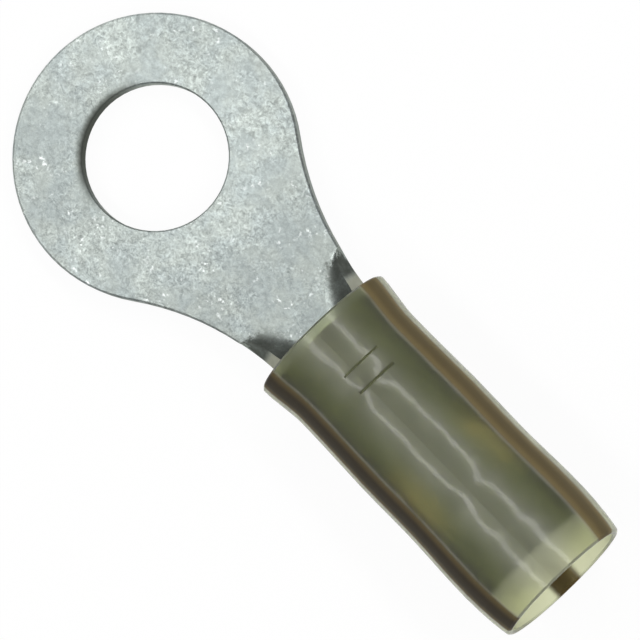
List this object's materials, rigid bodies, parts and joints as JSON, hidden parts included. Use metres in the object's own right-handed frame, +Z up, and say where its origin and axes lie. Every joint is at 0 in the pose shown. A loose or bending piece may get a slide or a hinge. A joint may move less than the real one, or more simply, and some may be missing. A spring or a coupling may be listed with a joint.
{
  "type": "insulated ring terminal",
  "caption": "Ring tongue terminal with a rolled wire barrel, a metal wire grip sleeve and a see-through plastic insulation sleeve, for a stud and a crimped wire.",
  "frame": {"origin": "centre of the stud hole on the tongue's underside", "axes": "+X along the wire barrel to the wire entry, +Z up out of the tongue, on the side of the barrel's seam"},
  "size_m": [0.0345, 0.0134, 0.0076],
  "materials": {
    "tinned_copper": "matt tin plating, finely mottled and pitted",
    "grip_metal": "thin tin plating over copper, warm where the copper shows",
    "clear_nylon": "translucent olive-tinted nylon, smooth"
  },
  "bodies": {
    "root": {"terminal_body": "tinned_copper", "grip_sleeve": "grip_metal", "insulation_sleeve": "clear_nylon"}
  },
  "joints": []
}
